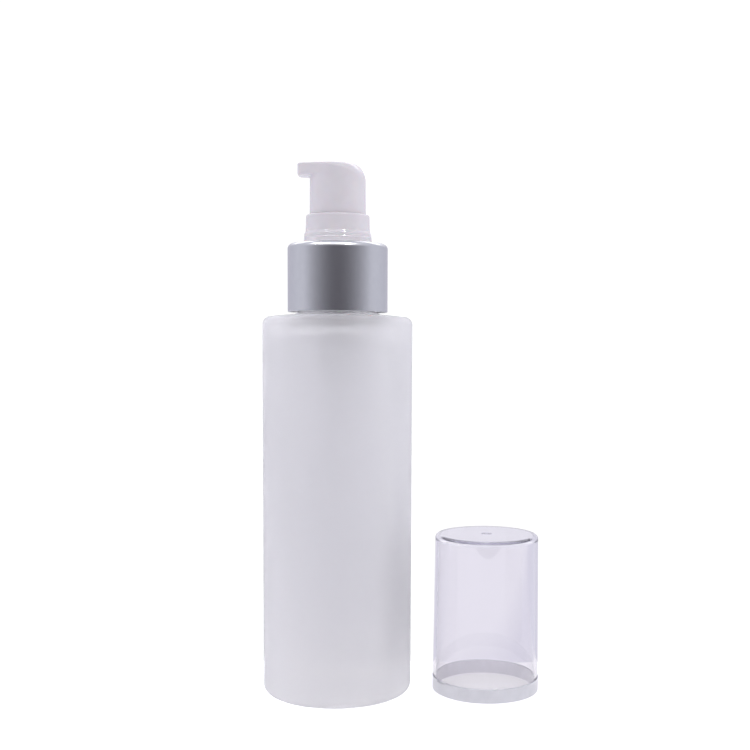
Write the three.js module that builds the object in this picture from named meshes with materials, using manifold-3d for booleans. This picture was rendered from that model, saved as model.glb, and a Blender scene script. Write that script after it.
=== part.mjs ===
// Foundation bottle: a frosted glass bottle with a screw-on treatment pump and a clear overcap.
// Millimetres, +Z up. The origin is on the bottle's axis, in the plane the bottle stands on.
// The clear overcap stands on the same plane beside the bottle.
import * as THREE from 'three';
import { mergeVertices } from 'three/addons/utils/BufferGeometryUtils.js';
import Module from 'manifold-3d';

const wasm = await Module();
wasm.setup();

// ---- driving dimensions --------------------------------------------------------------------------

// Glass bottle body
const BOTTLE_DIAMETER = 37.0;
const SHOULDER_HEIGHT = 93.5;
const SHOULDER_RISE = 0.8;
const SHOULDER_RADIUS = 2.0;
const HEEL_RADIUS = 1.8;
const GLASS_WALL = 2.2;
const GLASS_BASE = 6.0;
const INNER_BASE_RADIUS = 4.0;
const INNER_SHOULDER_RADIUS = 3.0;

// Threaded neck, a 20 mm shallow continuous thread
const NECK_HEIGHT = 13.1;
const NECK_DIAMETER = 17.5;
const NECK_BORE = 13.5;
const NECK_ROOT_FLARE = 1.65;
const NECK_ROOT_RADIUS = 1.2;
const LIP_RADIUS = 0.5;
const THREAD_DEPTH = 1.1;
const THREAD_PITCH = 3.18;
const THREAD_TURNS = 1.5;
const THREAD_TOP_LAND = 2.2;

// Clearances between mating pieces
const SEAT_GAP = 0.1;
const RUNNING_GAP = 0.15;
const SHELL_GAP = 0.2;
const THREAD_CLEARANCE = 0.3;
const PRESS_GAP = 0.3;
const CAP_CLEARANCE = 0.3;
const CAP_HEADROOM = 2.5;
const CAP_STAND_GAP = 5.6;

// Aluminium collar over the screw closure
const COLLAR_WALL = 0.4;
const COLLAR_EDGE_RADIUS = 1.3;
const COLLAR_GAP_TO_SHOULDER = 0.45;
const COLLAR_TOP_GAP = 0.3;

// Screw closure and its chimney
const CLOSURE_WALL = 1.58;
const CLOSURE_DECK = 1.25;
const CLOSURE_SKIRT_RECESS = 0.3;
const CLOSURE_THREAD_TURNS = 1.0;
const CLOSURE_THREAD_DEPTH = 0.65;
const CHIMNEY_HEIGHT = 7.0;
const CHIMNEY_WALL = 0.77;
const CHIMNEY_EDGE_RADIUS = 0.5;
const CHIMNEY_FOOT_STEP = 0.43;
const CHIMNEY_FOOT_HEIGHT = 1.4;
const CHIMNEY_BEAD_STEP = 0.33;
const CHIMNEY_BEAD_HEIGHT = 0.9;
const CHIMNEY_FLARE_HEIGHT = 0.6;

// Gasket and pump housing
const GASKET_THICKNESS = 0.9;
const GASKET_SIDE_GAP = 0.85;
const FLANGE_THICKNESS = 0.9;
const CUP_SIDE_GAP = 0.45;
const CUP_WALL = 1.3;
const CUP_DEPTH = 6.5;
const CYLINDER_BORE = 7.4;
const CYLINDER_WALL = 1.0;
const CYLINDER_LENGTH = 17.1;
const TAIL_WALL = 0.8;
const TAIL_LENGTH = 5.1;

// Suction ball and its chamber
const BALL_DIAMETER = 2.5;
const BALL_TRAVEL = 0.8;
const BALL_LIP = 0.4;
const BALL_LIP_CATCH = 0.19;
const CHAMBER_SIDE_GAP = 0.35;
const SEAT_HOLE_DIAMETER = 1.8;
const SEAT_HEIGHT = 1.0;
const SEAT_PASSAGE = 0.8;

// Dip tube
const DIP_TUBE_DIAMETER = 3.0;
const DIP_TUBE_BORE = 2.0;
const DIP_TUBE_FLOOR_GAP = 1.2;

// Stem, stem plug and piston
const STROKE = 4.5;
const STEM_DIAMETER = 3.8;
const STEM_BORE = 2.2;
const STEM_STOP_SIDE_GAP = 0.5;
const STEM_STOP_THICKNESS = 0.7;
const STEM_PORT_DIAMETER = 0.9;
const PISTON_LAG = 0.6;
const PISTON_HEIGHT = 3.5;
const PISTON_SLEEVE_WALL = 0.55;
const PISTON_LIP_WALL = 0.5;
const PISTON_WEB = 0.8;
const PLUG_FLOW_GAP = 1.1;
const PLUG_CONE_HEIGHT = 1.6;
const PLUG_DISC = 0.6;
const PLUG_BOSS_RECESS = 0.9;
const PLUG_BOSS_HEIGHT = 1.5;
const PLUG_PEG_HEIGHT = 1.0;

// Return spring
const SPRING_WIRE = 0.5;
const SPRING_SIDE_GAP = 0.75;
const SPRING_TURNS = 7;

// Housing retainer around the stem
const RETAINER_FLANGE_LIP = 0.4;
const RETAINER_FLANGE = 0.8;
const RETAINER_SKIRT_WALL = 0.9;
const RETAINER_SKIRT_DEPTH = 5.0;
const RETAINER_TURRET_WALL = 1.45;
const RETAINER_TURRET_HEIGHT = 2.5;
const RETAINER_TUBE_WALL = 0.85;

// Actuator
const ACTUATOR_DIAMETER = 13.6;
const ACTUATOR_DRAFT = 0.14;
const ACTUATOR_HEIGHT = 15.4;
const ACTUATOR_SIDE_GAP = 0.21;
const ACTUATOR_WALL = 0.9;
const ACTUATOR_ROOF = 4.0;
const ACTUATOR_CROWN = 0.6;
const ACTUATOR_EDGE_RADIUS = 0.9;
const ACTUATOR_DROP = 3.1;
const ACTUATOR_FLAT_END = 1.0;
const SOCKET_WALL = 1.0;
const SOCKET_DEPTH = 6.4;
const SPOUT_REACH = 9.75;
const SPOUT_WIDTH = 5.0;
const SPOUT_HEIGHT = 3.0;
const SPOUT_ROOT_HEIGHT = 3.2;
const SPOUT_CHANNEL = 1.8;
const SPOUT_FLANK_INSET = 0.15;

// Overcap
const CAP_WALL = 0.7;
const CAP_TAPER = 0.4;
const CAP_TOP_THICKNESS = 0.9;
const CAP_EDGE_RADIUS = 1.0;
const CAP_INNER_EDGE_RADIUS = 0.6;
const CAP_SET_BACK = 0.4;
const BAND_HEIGHT = 3.45;
const BAND_PROUD = 0.07;
const BAND_THICKNESS = 0.25;
const BAND_LIFT = 0.15;

// Faceting
const SHELL_SEGMENTS = 40;
const INNER_SEGMENTS = 24;
const ARC_STEPS = 4;
const THREAD_SIDES = 8;
const THREAD_STEPS_PER_TURN = 20;
const SPRING_SIDES = 6;
const SPRING_STEPS_PER_TURN = 16;
const WELD_TOLERANCE = 1e-4;

// ---- radii worked out from the driving dimensions ------------------------------------------------

const bottleRadius = BOTTLE_DIAMETER / 2;
const neckRadius = NECK_DIAMETER / 2;
const closureInner = neckRadius + THREAD_DEPTH + THREAD_CLEARANCE;
const closureOuter = closureInner + CLOSURE_WALL;
const collarInner = closureOuter + SHELL_GAP;
const collarOuter = collarInner + COLLAR_WALL;
const gasketRadius = closureInner - GASKET_SIDE_GAP;

const cupOuter = NECK_BORE / 2 - CUP_SIDE_GAP;
const cupInner = cupOuter - CUP_WALL;
const cylinderRadius = CYLINDER_BORE / 2;
const dipSocket = DIP_TUBE_DIAMETER / 2 + SEAT_GAP;
const ballRadius = BALL_DIAMETER / 2;
const chamberRadius = ballRadius + CHAMBER_SIDE_GAP;
const seatHoleRadius = SEAT_HOLE_DIAMETER / 2;

const stemRadius = STEM_DIAMETER / 2;
const stemBore = STEM_BORE / 2;
const stemGuide = stemRadius + RUNNING_GAP;
const plugHeadRadius = cylinderRadius - PLUG_FLOW_GAP;
const retainerFlange = cupInner + RETAINER_FLANGE_LIP;
const deckHole = retainerFlange + SHELL_GAP;

const actuatorRadius = ACTUATOR_DIAMETER / 2;
const actuatorFootRadius = actuatorRadius + ACTUATOR_DRAFT;
const wellRadius = actuatorFootRadius + ACTUATOR_SIDE_GAP;
const chimneyRadius = wellRadius + CHIMNEY_WALL;
const chimneyFootRadius = chimneyRadius + CHIMNEY_FOOT_STEP;

const capRimRadius = collarOuter + CAP_CLEARANCE + CAP_WALL;
const bandRadius = capRimRadius + BAND_PROUD;

// ---- levels worked out from the driving dimensions -----------------------------------------------

const neckRoot = SHOULDER_HEIGHT + SHOULDER_RISE;
const neckTop = neckRoot + NECK_HEIGHT;
const gasketBottom = neckTop + SEAT_GAP;
const gasketTop = gasketBottom + GASKET_THICKNESS;
const flangeBottom = gasketTop + SEAT_GAP;
const flangeTop = flangeBottom + FLANGE_THICKNESS;
const deckBottom = flangeTop + SEAT_GAP;
const deckTop = deckBottom + CLOSURE_DECK;
const collarTop = deckTop + COLLAR_TOP_GAP + COLLAR_WALL;
const collarBottom = neckRoot + COLLAR_GAP_TO_SHOULDER;
const chimneyTop = collarTop + CHIMNEY_HEIGHT;

// The resting ball touches its conical seat; its chamber lets it rise by its travel.
const seatConeAngle = Math.atan2(chamberRadius - seatHoleRadius, SEAT_HEIGHT);
const seatApexDepth = chamberRadius / Math.tan(seatConeAngle);
const ballAboveSeatTop = (ballRadius + SEAT_GAP / 2) / Math.sin(seatConeAngle) - seatApexDepth;
const chamberDepth = ballAboveSeatTop + ballRadius + BALL_TRAVEL + SEAT_GAP / 2;
const cupFloor = flangeBottom - CUP_DEPTH;
const cylinderFloor = cupFloor - CYLINDER_LENGTH;
const chamberTop = cylinderFloor - BALL_LIP;
const seatTop = chamberTop - chamberDepth;
const seatBottom = seatTop - SEAT_HEIGHT;
const tubeStop = seatBottom - SEAT_PASSAGE;
const tailBottom = tubeStop - TAIL_LENGTH;

const stopTop = cupFloor - SEAT_GAP;
const stopBottom = stopTop - STEM_STOP_THICKNESS;
const pistonTop = stopBottom - PISTON_LAG - SEAT_GAP;
const pistonBottom = pistonTop - PISTON_HEIGHT;

// The piston's lower edge rests on the plug's cone, so the cone's place follows from it.
const plugConeTopRadius = stemBore + SEAT_GAP;
const plugConeSlope = PLUG_CONE_HEIGHT / (plugHeadRadius - plugConeTopRadius);
const plugConeTop = pistonBottom - SEAT_GAP + plugConeSlope * (stemGuide - plugConeTopRadius);
const plugConeBottom = plugConeTop - PLUG_CONE_HEIGHT;
const plugDiscBottom = plugConeBottom - PLUG_DISC;
const stemBottom = plugConeTop + SEAT_GAP;

const retainerDeckTop = deckTop - SEAT_GAP;
const turretTop = retainerDeckTop + RETAINER_TURRET_HEIGHT;
const actuatorFoot = deckTop + PRESS_GAP + STROKE;
const actuatorTop = actuatorFoot + ACTUATOR_HEIGHT;
const socketBottom = turretTop + PRESS_GAP + STROKE;
const socketTop = socketBottom + SOCKET_DEPTH;
const stemTop = socketTop - SHELL_GAP;
const spoutMiddle = actuatorTop - SPOUT_HEIGHT / 2;

// The overcap covers the pump from its collar's foot to above the actuator.
const capHeight = actuatorTop - collarBottom + CAP_HEADROOM + CAP_TOP_THICKNESS;
const capStandX = bottleRadius + CAP_STAND_GAP + bandRadius;

// ---- helpers -------------------------------------------------------------------------------------

// Turns corners [radius, height, rounding] into points, each rounding drawn as an arc.
function outline(corners) {
  const points = [];
  corners.forEach(([r, z, rounding = 0], index) => {
    const corner = new THREE.Vector2(r, z);
    if (rounding === 0) {
      points.push(corner);
      return;
    }
    const previous = corners[(index + corners.length - 1) % corners.length];
    const next = corners[(index + 1) % corners.length];
    const back = new THREE.Vector2(previous[0], previous[1]).sub(corner).normalize();
    const ahead = new THREE.Vector2(next[0], next[1]).sub(corner).normalize();
    const halfAngle = Math.acos(back.dot(ahead)) / 2;
    const bisector = back.clone().add(ahead).normalize();
    const centre = corner.clone().addScaledVector(bisector, rounding / Math.sin(halfAngle));
    const start = corner.clone().addScaledVector(back, rounding / Math.tan(halfAngle)).sub(centre);
    const end = corner.clone().addScaledVector(ahead, rounding / Math.tan(halfAngle)).sub(centre);
    const sweep = Math.atan2(start.cross(end), start.dot(end));
    for (let step = 0; step <= ARC_STEPS; step += 1) {
      const turn = (sweep * step) / ARC_STEPS;
      points.push(start.clone().rotateAround(new THREE.Vector2(), turn).add(centre));
    }
  });
  return points;
}

// Makes a manifold solid from a closed geometry, with its faces pointing out.
function toSolid(geometry) {
  geometry.deleteAttribute('normal');
  geometry.deleteAttribute('uv');
  const merged = mergeVertices(geometry, WELD_TOLERANCE);
  const index = merged.index.array;
  const position = merged.attributes.position;
  const corner = [0, 1, 2].map(() => new THREE.Vector3());
  const triangles = [];
  let volume = 0;
  for (let i = 0; i < index.length; i += 3) {
    const [a, b, c] = index.slice(i, i + 3);
    if (a !== b && b !== c && c !== a) {
      triangles.push([a, b, c]);
      [a, b, c].forEach((vertex, side) => corner[side].fromBufferAttribute(position, vertex));
      volume += corner[0].dot(corner[1].cross(corner[2]));
    }
  }
  const outward = volume > 0 ? triangles : triangles.map(([a, b, c]) => [a, c, b]);
  const mesh = new wasm.Mesh({
    numProp: 3,
    vertProperties: new Float32Array(position.array),
    triVerts: new Uint32Array(outward.flat()),
  });
  return new wasm.Manifold(mesh);
}

// A solid of revolution about Z. Its profile starts and ends on the axis, or closes on itself.
function turned(corners, segments) {
  const points = outline(corners);
  if (points[0].x > 0) {
    points.push(points[0].clone());
  }
  const geometry = new THREE.LatheGeometry(points, segments);
  geometry.rotateX(Math.PI / 2);
  return toSolid(geometry);
}

class Helix extends THREE.Curve {
  constructor(radius, startHeight, pitch, firstTurn, turns) {
    super();
    Object.assign(this, { radius, startHeight, pitch, firstTurn, turns });
  }

  getPoint(t, target = new THREE.Vector3()) {
    const turn = this.firstTurn + this.turns * t;
    const angle = 2 * Math.PI * turn;
    const height = this.startHeight + this.pitch * turn;
    return target.set(this.radius * Math.cos(angle), this.radius * Math.sin(angle), height);
  }
}

// A round bar of the given radius swept along a curve.
function roundBar(curve, barRadius, sides, steps) {
  const section = new THREE.Shape();
  section.absarc(0, 0, barRadius, 0, 2 * Math.PI);
  const options = { steps, curveSegments: sides / 2, extrudePath: curve, bevelEnabled: false };
  return toSolid(new THREE.ExtrudeGeometry(section, options));
}

// A side profile in X and Z, extruded across Y and centred on it.
function crosswise(points, width) {
  const shape = new THREE.Shape(points);
  const geometry = new THREE.ExtrudeGeometry(shape, { depth: width, bevelEnabled: false });
  geometry.translate(0, 0, -width / 2);
  geometry.rotateX(Math.PI / 2);
  return toSolid(geometry);
}

// An outline in X and Y, extruded up from one height to another.
function upright(points, bottom, top) {
  const shape = new THREE.Shape(points);
  const geometry = new THREE.ExtrudeGeometry(shape, { depth: top - bottom, bevelEnabled: false });
  geometry.translate(0, 0, bottom);
  return toSolid(geometry);
}

// An end profile in Y and Z, extruded back along X from the spout's side of the origin.
function lengthwise(points, length) {
  const shape = new THREE.Shape(points);
  const geometry = new THREE.ExtrudeGeometry(shape, { depth: length, bevelEnabled: false });
  geometry.rotateX(Math.PI / 2);
  geometry.rotateZ(-Math.PI / 2);
  return toSolid(geometry);
}

function drilled(radius, from, to) {
  const length = from.distanceTo(to);
  const geometry = new THREE.CylinderGeometry(radius, radius, length, INNER_SEGMENTS);
  const along = new THREE.Vector3().subVectors(to, from).normalize();
  geometry.applyQuaternion(new THREE.Quaternion().setFromUnitVectors(new THREE.Vector3(0, 1, 0), along));
  const middle = new THREE.Vector3().addVectors(from, to).multiplyScalar(0.5);
  geometry.translate(middle.x, middle.y, middle.z);
  return toSolid(geometry);
}

// ---- materials -----------------------------------------------------------------------------------

function finish(color, roughness, metalness) {
  return () => new THREE.MeshStandardMaterial({ color, roughness, metalness });
}

const frostedGlass = finish(0xd8d8de, 0.45, 0);
const clearPlastic = finish(0xe0dfea, 0.05, 0);
const whitePlastic = finish(0xe6e4ea, 0.25, 0);
const naturalPlastic = finish(0xe4e4e0, 0.35, 0);
const satinAluminium = finish(0xb4b7c4, 0.35, 1);
const mirrorSilver = finish(0xc8ccd4, 0.12, 1);
const springSteel = finish(0x9a9ca0, 0.25, 1);
const glassBall = finish(0xcfd6d8, 0.05, 0);
const foam = finish(0xf0f0ec, 0.8, 0);

function piece(name, solid, material) {
  const { vertProperties, triVerts } = solid.getMesh();
  const geometry = new THREE.BufferGeometry();
  geometry.setAttribute('position', new THREE.BufferAttribute(vertProperties, 3));
  geometry.setIndex(new THREE.BufferAttribute(triVerts, 1));
  geometry.computeVertexNormals();
  const mesh = new THREE.Mesh(geometry, material());
  mesh.name = name;
  return mesh;
}

// ---- glass bottle --------------------------------------------------------------------------------

// The glass thread's helix ends THREAD_TOP_LAND below the lip.
const threadStart = neckTop - THREAD_TOP_LAND - THREAD_PITCH * THREAD_TURNS;

function glassBottle() {
  const inner = bottleRadius - GLASS_WALL;
  const bore = NECK_BORE / 2;
  const blank = turned([
    [0, 0],
    [bottleRadius, 0, HEEL_RADIUS],
    [bottleRadius, SHOULDER_HEIGHT, SHOULDER_RADIUS],
    [neckRadius + NECK_ROOT_FLARE, neckRoot],
    [neckRadius, neckRoot + NECK_ROOT_RADIUS],
    [neckRadius, neckTop, LIP_RADIUS],
    [bore, neckTop, LIP_RADIUS],
    [bore, neckRoot - GLASS_WALL, LIP_RADIUS],
    [inner, SHOULDER_HEIGHT - GLASS_WALL, INNER_SHOULDER_RADIUS],
    [inner, GLASS_BASE, INNER_BASE_RADIUS],
    [0, GLASS_BASE],
  ], SHELL_SEGMENTS);
  const helix = new Helix(neckRadius, threadStart, THREAD_PITCH, 0, THREAD_TURNS);
  const steps = Math.round(THREAD_STEPS_PER_TURN * THREAD_TURNS);
  const thread = roundBar(helix, THREAD_DEPTH, THREAD_SIDES, steps);
  return piece('glass_bottle', blank.add(thread), frostedGlass);
}

// ---- closure, collar and gasket ------------------------------------------------------------------

function screwClosure() {
  const skirtBottom = collarBottom + CLOSURE_SKIRT_RECESS;
  const footTop = collarTop + CHIMNEY_FOOT_HEIGHT;
  const beadTop = footTop + CHIMNEY_BEAD_HEIGHT;
  const beadRadius = chimneyRadius + CHIMNEY_BEAD_STEP;
  const shell = turned([
    [closureInner, skirtBottom],
    [closureOuter, skirtBottom],
    [closureOuter, deckTop, COLLAR_EDGE_RADIUS],
    [chimneyFootRadius, deckTop],
    [chimneyFootRadius, footTop],
    [beadRadius, footTop],
    [beadRadius, beadTop],
    [chimneyRadius, beadTop + CHIMNEY_FLARE_HEIGHT],
    [chimneyRadius, chimneyTop, CHIMNEY_EDGE_RADIUS],
    [wellRadius, chimneyTop],
    [wellRadius, deckTop],
    [deckHole, deckTop],
    [deckHole, deckBottom],
    [closureInner, deckBottom],
  ], SHELL_SEGMENTS);
  // The female thread lies half a pitch below the glass thread, on the same helix.
  const firstTurn = THREAD_TURNS - CLOSURE_THREAD_TURNS;
  const helix = new Helix(
    closureInner, threadStart - THREAD_PITCH / 2, THREAD_PITCH, firstTurn, CLOSURE_THREAD_TURNS);
  const steps = Math.round(THREAD_STEPS_PER_TURN * CLOSURE_THREAD_TURNS);
  const thread = roundBar(helix, CLOSURE_THREAD_DEPTH, THREAD_SIDES, steps);
  return piece('screw_closure', shell.add(thread), whitePlastic);
}

function collarShell() {
  const hole = chimneyFootRadius + RUNNING_GAP;
  const shell = turned([
    [collarInner, collarBottom],
    [collarOuter, collarBottom],
    [collarOuter, collarTop, COLLAR_EDGE_RADIUS],
    [hole, collarTop],
    [hole, collarTop - COLLAR_WALL],
    [collarInner, collarTop - COLLAR_WALL, COLLAR_EDGE_RADIUS - COLLAR_WALL],
  ], SHELL_SEGMENTS);
  return piece('collar_shell', shell, satinAluminium);
}

function neckGasket() {
  const hole = cupOuter + RUNNING_GAP;
  const ring = turned([
    [hole, gasketBottom],
    [gasketRadius, gasketBottom],
    [gasketRadius, gasketTop],
    [hole, gasketTop],
  ], INNER_SEGMENTS);
  return piece('neck_gasket', ring, foam);
}

// ---- pump housing, dip tube and ball -------------------------------------------------------------

function pumpHousing() {
  const wall = cylinderRadius + CYLINDER_WALL;
  const tail = dipSocket + TAIL_WALL;
  const lip = ballRadius - BALL_LIP_CATCH;
  const body = turned([
    [dipSocket, tailBottom],
    [tail, tailBottom],
    [tail, seatBottom],
    [wall, chamberTop],
    [wall, cupFloor - CUP_WALL],
    [cupOuter, cupFloor],
    [cupOuter, flangeBottom],
    [gasketRadius, flangeBottom],
    [gasketRadius, flangeTop],
    [cupInner, flangeTop],
    [cupInner, cupFloor],
    [cylinderRadius, cupFloor],
    [cylinderRadius, cylinderFloor],
    [lip, cylinderFloor],
    [lip, chamberTop],
    [chamberRadius, chamberTop],
    [chamberRadius, seatTop],
    [seatHoleRadius, seatBottom],
    [seatHoleRadius, tubeStop],
    [dipSocket, tubeStop],
  ], INNER_SEGMENTS);
  return piece('pump_housing', body, naturalPlastic);
}

function dipTube() {
  const bottom = GLASS_BASE + DIP_TUBE_FLOOR_GAP;
  const tube = turned([
    [DIP_TUBE_BORE / 2, bottom],
    [DIP_TUBE_DIAMETER / 2, bottom],
    [DIP_TUBE_DIAMETER / 2, tubeStop - SEAT_GAP],
    [DIP_TUBE_BORE / 2, tubeStop - SEAT_GAP],
  ], INNER_SEGMENTS);
  return piece('dip_tube', tube, naturalPlastic);
}

function checkBall() {
  const ball = new THREE.SphereGeometry(ballRadius, INNER_SEGMENTS / 2, INNER_SEGMENTS / 3);
  ball.rotateX(Math.PI / 2);
  ball.translate(0, 0, seatTop + ballAboveSeatTop);
  return piece('check_ball', toSolid(ball), glassBall);
}

// ---- stem, plug, piston, spring and retainer -----------------------------------------------------

function pumpStem() {
  const stop = cylinderRadius - STEM_STOP_SIDE_GAP;
  const tube = turned([
    [stemBore, stemBottom],
    [stemRadius, stemBottom],
    [stemRadius, stopBottom],
    [stop, stopBottom],
    [stop, stopTop],
    [stemRadius, stopTop],
    [stemRadius, stemTop],
    [stemBore, stemTop],
  ], INNER_SEGMENTS);
  const portHeight = (stopBottom + stemBottom + PLUG_PEG_HEIGHT) / 2;
  const port = drilled(
    STEM_PORT_DIAMETER / 2,
    new THREE.Vector3(-stemRadius - SEAT_GAP, 0, portHeight),
    new THREE.Vector3(stemRadius + SEAT_GAP, 0, portHeight));
  return piece('pump_stem', tube.subtract(port), whitePlastic);
}

function stemPlug() {
  const peg = stemBore - SEAT_GAP;
  const boss = plugHeadRadius - PLUG_BOSS_RECESS;
  const plug = turned([
    [0, plugDiscBottom - PLUG_BOSS_HEIGHT],
    [boss, plugDiscBottom - PLUG_BOSS_HEIGHT],
    [boss, plugDiscBottom],
    [plugHeadRadius, plugDiscBottom],
    [plugHeadRadius, plugConeBottom],
    [plugConeTopRadius, plugConeTop],
    [peg, plugConeTop],
    [peg, stemBottom + PLUG_PEG_HEIGHT],
    [0, stemBottom + PLUG_PEG_HEIGHT],
  ], INNER_SEGMENTS);
  return piece('stem_plug', plug, naturalPlastic);
}

function pistonRing() {
  const sleeve = stemGuide + PISTON_SLEEVE_WALL;
  const outer = cylinderRadius - SEAT_GAP;
  const lip = outer - PISTON_LIP_WALL;
  const webMiddle = (pistonTop + pistonBottom) / 2;
  const ring = turned([
    [stemGuide, pistonBottom],
    [sleeve, pistonBottom],
    [sleeve, webMiddle - PISTON_WEB / 2],
    [lip, webMiddle - PISTON_WEB / 2],
    [outer - SEAT_GAP, pistonBottom],
    [outer, pistonBottom],
    [outer - SEAT_GAP, webMiddle],
    [outer, pistonTop],
    [outer - SEAT_GAP, pistonTop],
    [lip, webMiddle + PISTON_WEB / 2],
    [sleeve, webMiddle + PISTON_WEB / 2],
    [sleeve, pistonTop],
    [stemGuide, pistonTop],
  ], INNER_SEGMENTS);
  return piece('piston', ring, naturalPlastic);
}

function returnSpring() {
  const wire = SPRING_WIRE / 2;
  const bottom = cylinderFloor + SEAT_GAP + wire;
  const top = plugDiscBottom - SEAT_GAP - wire;
  const pitch = (top - bottom) / SPRING_TURNS;
  const coilRadius = cylinderRadius - SPRING_SIDE_GAP - wire;
  const helix = new Helix(coilRadius, bottom, pitch, 0, SPRING_TURNS);
  const steps = SPRING_STEPS_PER_TURN * SPRING_TURNS;
  return piece('return_spring', roundBar(helix, wire, SPRING_SIDES, steps), springSteel);
}

function housingRetainer() {
  const flangeUnder = retainerDeckTop - RETAINER_FLANGE;
  const skirtOuter = cupInner - RUNNING_GAP;
  const skirtInner = skirtOuter - RETAINER_SKIRT_WALL;
  const tube = stemGuide + RETAINER_TUBE_WALL;
  const turret = stemGuide + RETAINER_TURRET_WALL;
  const plug = turned([
    [stemGuide, cupFloor + SEAT_GAP],
    [tube, cupFloor + SEAT_GAP],
    [tube, flangeUnder - RETAINER_FLANGE],
    [skirtInner, flangeUnder - RETAINER_FLANGE],
    [skirtInner, flangeUnder - RETAINER_SKIRT_DEPTH],
    [skirtOuter, flangeUnder - RETAINER_SKIRT_DEPTH],
    [skirtOuter, flangeUnder],
    [retainerFlange, flangeUnder],
    [retainerFlange, retainerDeckTop],
    [turret, retainerDeckTop],
    [turret, turretTop],
    [stemGuide, turretTop],
  ], INNER_SEGMENTS);
  return piece('housing_retainer', plug, whitePlastic);
}

// ---- actuator ------------------------------------------------------------------------------------

// The head's side profile: flat over the spout, then an elliptical drop to the back.
function backDrop() {
  const back = ACTUATOR_DIAMETER;
  const points = [
    new THREE.Vector2(-back, actuatorFoot),
    new THREE.Vector2(back, actuatorFoot),
    new THREE.Vector2(back, actuatorTop - ACTUATOR_DROP),
  ];
  const dropSteps = 2 * ARC_STEPS;
  const reach = actuatorRadius - ACTUATOR_FLAT_END;
  for (let step = 0; step <= dropSteps; step += 1) {
    const angle = (Math.PI / 2) * (step / dropSteps);
    const x = ACTUATOR_FLAT_END + reach * Math.cos(angle);
    points.push(new THREE.Vector2(x, actuatorTop - ACTUATOR_DROP * (1 - Math.sin(angle))));
  }
  points.push(new THREE.Vector2(-back, actuatorTop));
  return crosswise(points, 2 * back);
}

// Seen from above, the spout's flanks run from its tip to the head's round wall and meet it smoothly.
function spout() {
  const halfWidth = SPOUT_WIDTH / 2;
  const wall = actuatorRadius - SPOUT_FLANK_INSET;
  const tipDistance = Math.hypot(SPOUT_REACH, halfWidth);
  const touchAngle = Math.atan2(halfWidth, SPOUT_REACH) + Math.acos(wall / tipDistance);
  const touchX = -wall * Math.cos(touchAngle);
  const touchY = wall * Math.sin(touchAngle);
  const plan = upright([
    new THREE.Vector2(0, 0),
    new THREE.Vector2(touchX, touchY),
    new THREE.Vector2(-SPOUT_REACH, halfWidth),
    new THREE.Vector2(-SPOUT_REACH, -halfWidth),
    new THREE.Vector2(touchX, -touchY),
  ], actuatorFoot, actuatorTop);
  const side = crosswise([
    new THREE.Vector2(0, actuatorTop),
    new THREE.Vector2(-SPOUT_REACH, actuatorTop),
    new THREE.Vector2(-SPOUT_REACH, actuatorTop - SPOUT_HEIGHT),
    new THREE.Vector2(0, actuatorTop - SPOUT_ROOT_HEIGHT),
  ], ACTUATOR_DIAMETER);
  const roof = lengthwise([
    new THREE.Vector2(-actuatorRadius, actuatorFoot),
    new THREE.Vector2(actuatorRadius, actuatorFoot),
    new THREE.Vector2(actuatorRadius, actuatorTop - ACTUATOR_CROWN - ACTUATOR_EDGE_RADIUS / 2),
    new THREE.Vector2(halfWidth, actuatorTop),
    new THREE.Vector2(-halfWidth, actuatorTop),
    new THREE.Vector2(-actuatorRadius, actuatorTop - ACTUATOR_CROWN - ACTUATOR_EDGE_RADIUS / 2),
  ], ACTUATOR_DIAMETER);
  return plan.intersect(side).intersect(roof);
}

function actuatorHead() {
  const skirtInner = actuatorRadius - ACTUATOR_WALL;
  const socketInner = stemRadius + SEAT_GAP;
  const socketOuter = socketInner + SOCKET_WALL;
  const channel = SPOUT_CHANNEL / 2;
  const body = turned([
    [0, actuatorFoot],
    [actuatorFootRadius, actuatorFoot],
    [actuatorRadius, actuatorTop - ACTUATOR_CROWN, ACTUATOR_EDGE_RADIUS],
    [0, actuatorTop],
  ], SHELL_SEGMENTS);
  const hollow = turned([
    [0, actuatorFoot - PRESS_GAP],
    [skirtInner, actuatorFoot - PRESS_GAP],
    [skirtInner, actuatorTop - ACTUATOR_ROOF],
    [socketOuter, actuatorTop - ACTUATOR_ROOF],
    [socketOuter, socketBottom],
    [socketInner, socketBottom],
    [socketInner, socketTop],
    [channel, socketTop],
    [channel, spoutMiddle],
    [0, spoutMiddle],
  ], INNER_SEGMENTS);
  const nozzle = drilled(
    channel,
    new THREE.Vector3(-SPOUT_REACH - PRESS_GAP, 0, spoutMiddle),
    new THREE.Vector3(channel, 0, spoutMiddle));
  const head = body.intersect(backDrop()).add(spout()).subtract(hollow).subtract(nozzle);
  return piece('actuator_head', head, whitePlastic);
}

// ---- overcap -------------------------------------------------------------------------------------

function overcapShell() {
  const recess = bandRadius - BAND_THICKNESS - SEAT_GAP;
  const radiusAt = (height) => capRimRadius - (CAP_TAPER * height) / capHeight;
  const ceiling = capHeight - CAP_TOP_THICKNESS;
  const recessTop = BAND_LIFT + BAND_HEIGHT + SEAT_GAP;
  const shell = turned([
    [capRimRadius - CAP_WALL, 0],
    [recess, 0],
    [recess, recessTop],
    [radiusAt(recessTop), recessTop],
    [radiusAt(capHeight), capHeight, CAP_EDGE_RADIUS],
    [0, capHeight],
    [0, ceiling],
    [radiusAt(ceiling) - CAP_WALL, ceiling, CAP_INNER_EDGE_RADIUS],
  ], SHELL_SEGMENTS);
  return piece('overcap_shell', shell, clearPlastic);
}

function overcapBand() {
  const ring = turned([
    [bandRadius - BAND_THICKNESS, BAND_LIFT],
    [bandRadius, BAND_LIFT],
    [bandRadius, BAND_LIFT + BAND_HEIGHT],
    [bandRadius - BAND_THICKNESS, BAND_LIFT + BAND_HEIGHT],
  ], SHELL_SEGMENTS);
  return piece('overcap_band', ring, mirrorSilver);
}

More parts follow.
